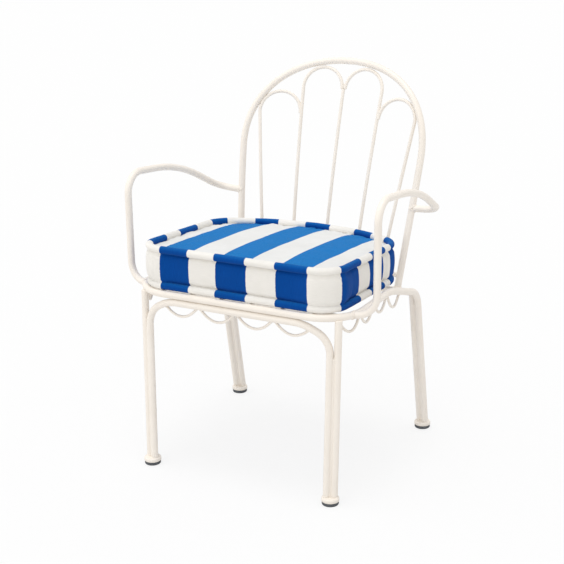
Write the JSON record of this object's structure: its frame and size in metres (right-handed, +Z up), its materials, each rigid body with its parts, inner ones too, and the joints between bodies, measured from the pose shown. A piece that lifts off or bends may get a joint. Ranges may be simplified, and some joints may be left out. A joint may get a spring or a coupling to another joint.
{
  "type": "outdoor armchair with loose cushion",
  "caption": "Outdoor armchair of bent round tube with a bowed wire back, open arms, a scalloped wire apron and a loose striped box cushion.",
  "frame": {"origin": "on the floor, in the middle of the chair's whole width and depth", "axes": "+Z up, the sitter faces -Y, and +X is the right-hand side for someone who looks at the chair from the front"},
  "size_m": [0.6226, 0.5974, 0.8695],
  "materials": {
    "paint": "satin powder coat, warm off-white",
    "glider": "matt, dark grey",
    "cushion": "woven, broad blue and white stripes"
  },
  "bodies": {
    "frame": {"seat_hoop": "paint", "front_leg_frame": "paint", "front_right_leg_tube": "paint", "front_left_leg_tube": "paint", "rear_right_leg_tube": "paint", "rear_left_leg_tube": "paint", "rear_rail": "paint", "front_right_foot_cup": "paint", "front_left_foot_cup": "paint", "rear_right_foot_cup": "paint", "rear_left_foot_cup": "paint", "back_hoop": "paint", "deck_rail": "paint", "back_centre_wire": "paint", "back_inner_cane_right": "paint", "back_outer_cane_right": "paint", "back_inner_cane_left": "paint", "back_outer_cane_left": "paint", "arm_right": "paint", "arm_left": "paint", "apron_front": "paint", "apron_rear": "paint", "apron_right": "paint", "apron_left": "paint", "seat_rod_1": "paint", "seat_rod_2": "paint", "seat_rod_3": "paint", "seat_rod_4": "paint", "seat_rod_5": "paint", "seat_rod_6": "paint", "cross_rod_front": "paint", "cross_rod_rear": "paint", "front_right_glider": "glider", "front_left_glider": "glider", "rear_right_glider": "glider", "rear_left_glider": "glider"},
    "cushion": {"seat_cushion": "cushion"}
  },
  "joints": [
    {"name": "cushion_lift", "type": "slide", "parent": "frame", "child": "cushion", "axis": [0, 0, 1], "range_m": [0, 0.4]}
  ]
}
